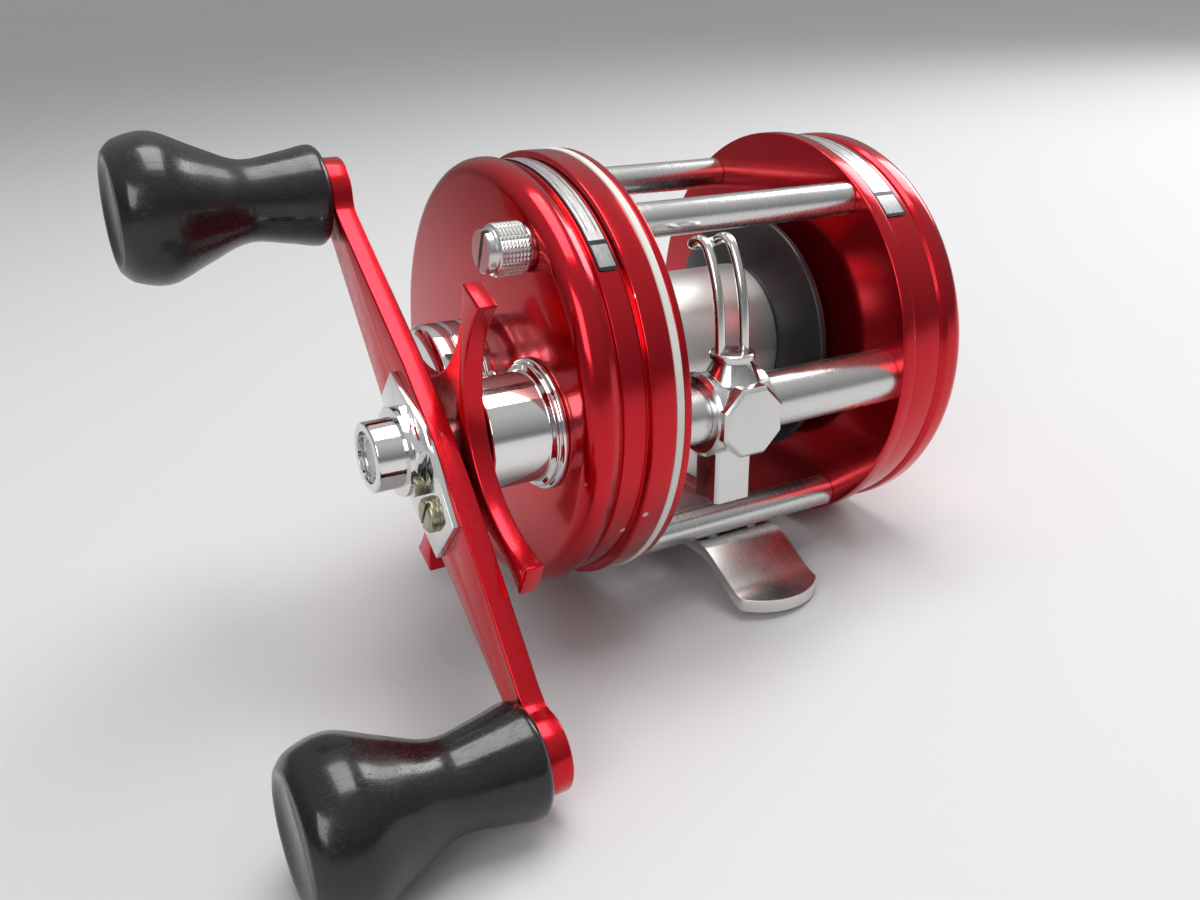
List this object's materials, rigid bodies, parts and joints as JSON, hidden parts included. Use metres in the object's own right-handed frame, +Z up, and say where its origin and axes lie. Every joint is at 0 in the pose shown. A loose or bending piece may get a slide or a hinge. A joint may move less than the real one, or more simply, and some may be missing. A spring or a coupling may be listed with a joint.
{
  "type": "baitcasting reel",
  "caption": "Round baitcasting reel with crank handle, star drag, spool between side plates, level-wind line guide and a rod-seat foot.",
  "frame": {"origin": "centre of the foot's flat underside, midway between the side plates", "axes": "+X along the spool axis, from the handle side to the other side; -Y towards the line guide and rod tip; +Z up, from the rod towards the spool"},
  "size_m": [0.0968, 0.0761, 0.0646],
  "materials": {
    "red_anodised": "glossy anodised red",
    "chrome": "polished chrome",
    "satin_metal": "satin aluminium",
    "steel": "plain steel",
    "brass": "plain brass",
    "brass_screw": "aged plated brass",
    "black_gloss": "gloss black plastic",
    "black_flange": "gloss black",
    "off_white": "off-white plastic",
    "foil": "brushed foil label",
    "fibre": "pressed fibre",
    "nylon": "moulded nylon"
  },
  "bodies": {
    "frame": {"right_frame_ring": "red_anodised", "left_frame_plate": "red_anodised", "top_pillars": "satin_metal", "bottom_pillars": "satin_metal", "pillar_screws": "steel", "level_wind_tube": "satin_metal", "reel_foot": "chrome", "foot_rivets": "steel", "spacer_ring": "off_white", "right_side_cover": "red_anodised", "right_label": "foil", "left_side_cover": "red_anodised", "left_label": "foil", "left_cover_screws": "steel", "gear_plate": "satin_metal", "gear_plate_screws": "steel", "bearing_boss": "chrome", "drive_boss": "chrome", "drive_bushing": "brass", "right_spool_bearing": "steel", "left_spool_bearing": "steel", "brake_ring": "brass", "worm_bushings": "brass"},
    "handle": {"drive_shaft": "steel", "drive_gear": "brass", "level_wind_cog": "nylon", "drag_washers": "fibre", "ratchet_wheel": "steel", "drag_springs": "steel", "drag_sleeve": "brass", "handle_arm": "red_anodised", "nut_plate": "chrome", "handle_nut": "chrome", "plate_screw": "brass_screw", "knob_spindles": "steel"},
    "star": {"star_drag": "red_anodised"},
    "top_knob": {"knob_top": "black_gloss"},
    "bottom_knob": {"knob_bottom": "black_gloss"},
    "spool": {"spool_drum": "satin_metal", "spool_flange_left": "black_flange", "spool_flange_right": "black_flange", "spool_shaft": "steel", "brake_blocks": "fibre", "click_wheel": "nylon"},
    "yoke": {"pinion_yoke": "steel"},
    "pinion": {"pinion": "brass"},
    "release": {"release_button": "black_gloss"},
    "worm": {"worm_shaft": "steel", "worm_gear": "nylon"},
    "line_guide": {"line_carriage": "chrome", "line_guide_wire": "steel", "line_pawl": "steel", "pawl_cap": "chrome"},
    "spool_cap": {"tension_cap": "chrome"},
    "clicker": {"click_button": "chrome", "click_pawl": "steel"},
    "dog": {"anti_reverse_dog": "steel"},
    "upper_thumb_screw": {"thumb_screw_upper": "satin_metal"},
    "lower_thumb_screw": {"thumb_screw_lower": "satin_metal"}
  },
  "joints": [
    {"name": "handle_spin", "type": "hinge", "parent": "frame", "child": "handle", "pos_m": [-0.041, -0.01415, 0.0223], "axis": [1, 0, 0], "continuous": true},
    {"name": "top_knob_spin", "type": "hinge", "parent": "handle", "child": "top_knob", "pos_m": [-0.055, 0.01188, 0.04615], "axis": [1, 0, 0], "continuous": true},
    {"name": "bottom_knob_spin", "type": "hinge", "parent": "handle", "child": "bottom_knob", "pos_m": [-0.055, -0.04017, -0.00154], "axis": [1, 0, 0], "continuous": true},
    {"name": "star_turn", "type": "hinge", "parent": "handle", "child": "star", "pos_m": [-0.039, -0.01415, 0.0223], "axis": [1, 0, 0], "range_deg": [-180, 180]},
    {"name": "spool_spin", "type": "hinge", "parent": "frame", "child": "spool", "pos_m": [0, 0, 0.024], "axis": [1, 0, 0], "continuous": true},
    {"name": "yoke_shift", "type": "slide", "parent": "frame", "child": "yoke", "axis": [-1, 0, 0], "range_m": [0, 0.0015]},
    {"name": "pinion_spin", "type": "hinge", "parent": "yoke", "child": "pinion", "pos_m": [-0.02, 0, 0.024], "axis": [1, 0, 0], "continuous": true},
    {"name": "release_press", "type": "slide", "parent": "frame", "child": "release", "axis": [0, -0.766, -0.6428], "range_m": [0, 0.002], "stiffness_N_per_m": 250, "springref_m": -0.001},
    {"name": "worm_spin", "type": "hinge", "parent": "frame", "child": "worm", "pos_m": [0, -0.02287, 0.02301], "axis": [1, 0, 0], "continuous": true},
    {"name": "line_guide_travel", "type": "slide", "parent": "frame", "child": "line_guide", "axis": [1, 0, 0], "range_m": [-0.0026, 0.0194]},
    {"name": "tension_cap_turn", "type": "hinge", "parent": "frame", "child": "spool_cap", "pos_m": [-0.033, 0, 0.024], "axis": [1, 0, 0], "range_deg": [-180, 180]},
    {"name": "clicker_slide", "type": "slide", "parent": "frame", "child": "clicker", "axis": [0, 0, 1], "range_m": [0, 0.003]},
    {"name": "dog_swing", "type": "hinge", "parent": "frame", "child": "dog", "pos_m": [-0.0215, -0.00599, 0.03501], "axis": [1, 0, 0], "range_deg": [0, 20]},
    {"name": "upper_thumb_screw_turn", "type": "hinge", "parent": "frame", "child": "upper_thumb_screw", "pos_m": [-0.031, -0.0119, 0.04239], "axis": [1, 0, 0], "range_deg": [0, 360]},
    {"name": "lower_thumb_screw_turn", "type": "hinge", "parent": "frame", "child": "lower_thumb_screw", "pos_m": [-0.031, 0.0119, 0.00562], "axis": [1, 0, 0], "range_deg": [0, 360]}
  ],
  "couplings": [
    {"joint": "spool_spin", "follows": "handle_spin", "ratio": -3.0714},
    {"joint": "pinion_spin", "follows": "handle_spin", "ratio": -3.0714},
    {"joint": "worm_spin", "follows": "handle_spin", "ratio": -2.8889},
    {"joint": "yoke_shift", "follows": "release_press", "ratio": 0.75}
  ]
}
